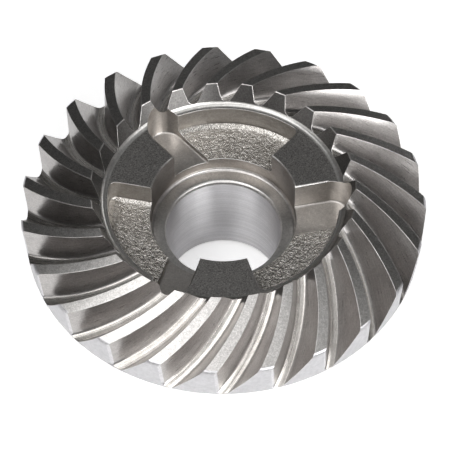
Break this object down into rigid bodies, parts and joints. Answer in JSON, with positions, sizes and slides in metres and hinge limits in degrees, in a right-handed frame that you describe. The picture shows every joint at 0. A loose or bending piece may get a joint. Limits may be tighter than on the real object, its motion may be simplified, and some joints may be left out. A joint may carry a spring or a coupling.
{
  "type": "reverse gear",
  "caption": "Spiral bevel reverse gear in one steel forging, with dog-clutch lugs and pockets round a stepped bore and a bearing journal behind.",
  "frame": {"origin": "on the bore axis at the journal's end face, which is the lowest face", "axes": "+Z along the bore axis, from the journal towards the clutch lugs; one lug lies towards -Y"},
  "size_m": [0.1048, 0.105, 0.0452],
  "materials": {
    "steel": "satin machined teeth, bore and turned faces, rough forged pocket floors and darker mottled lug tops"
  },
  "bodies": {
    "root": {"reverse_gear": "steel"}
  },
  "joints": []
}
